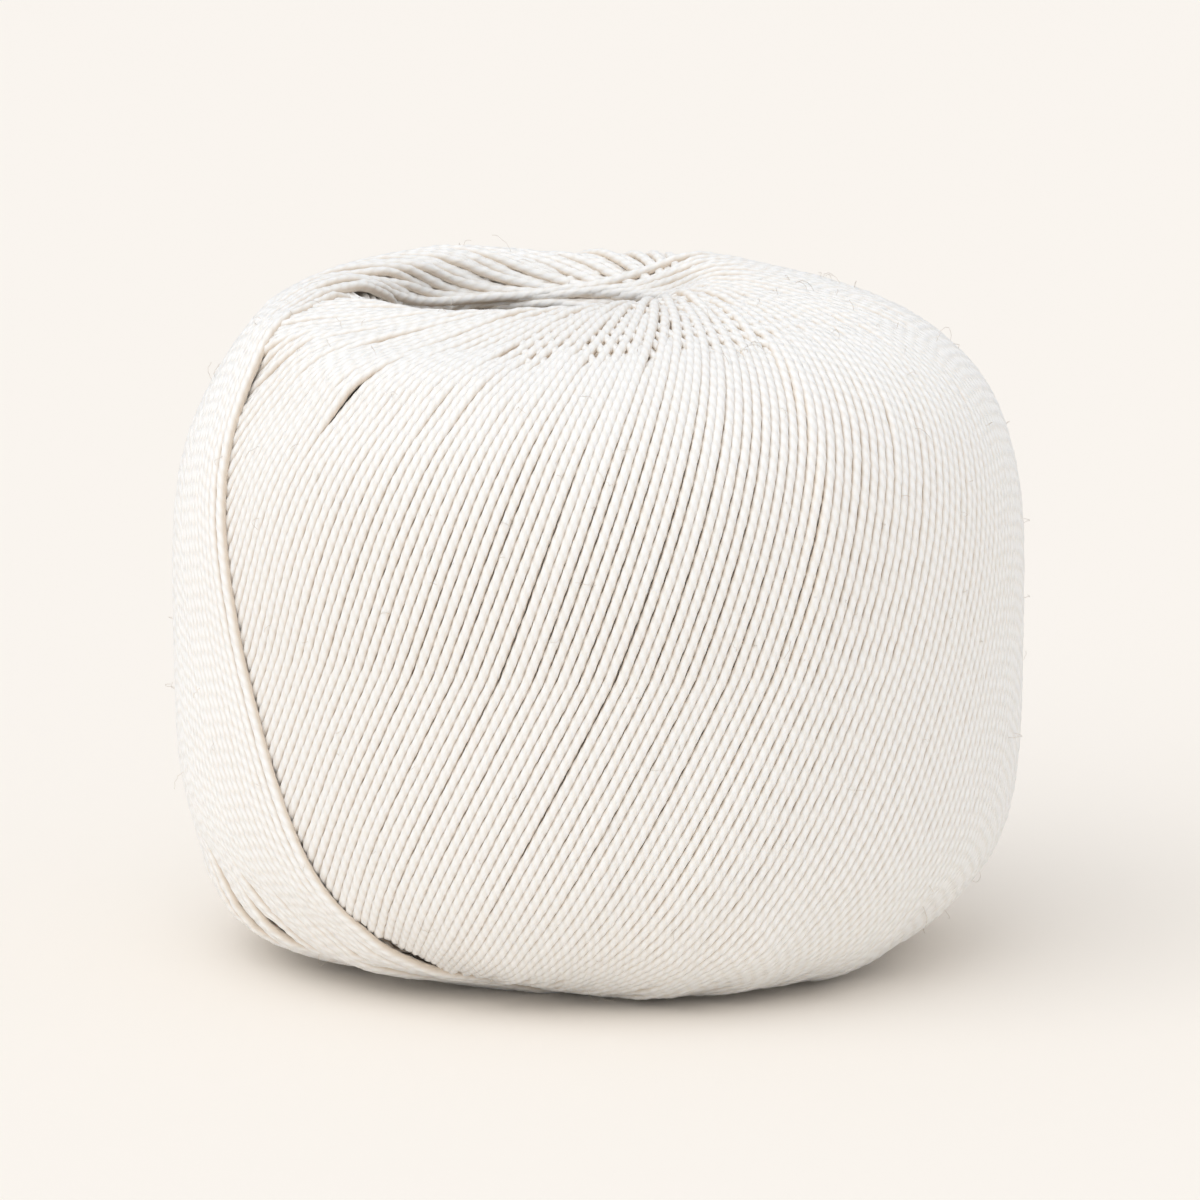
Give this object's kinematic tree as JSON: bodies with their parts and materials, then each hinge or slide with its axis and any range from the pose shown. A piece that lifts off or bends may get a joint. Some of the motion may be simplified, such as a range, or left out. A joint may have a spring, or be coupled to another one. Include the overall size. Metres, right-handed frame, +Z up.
{
  "type": "ball of crochet cotton",
  "caption": "Cross-wound, barrel-shaped ball of white mercerised cotton thread, with the open hole left by its winding mandrel; a supply of thread for crochet or knitting.",
  "frame": {"origin": "middle of the flat spot that the ball rests on, at the centre of its box", "axes": "+Z up along the ball's axis, -Y towards the front, +X to the right"},
  "size_m": [0.068, 0.0674, 0.0549],
  "materials": {
    "cotton": "mercerised cotton thread, near white with a soft silky gloss"
  },
  "bodies": {
    "root": {"wound_ball": "cotton"}
  },
  "joints": []
}
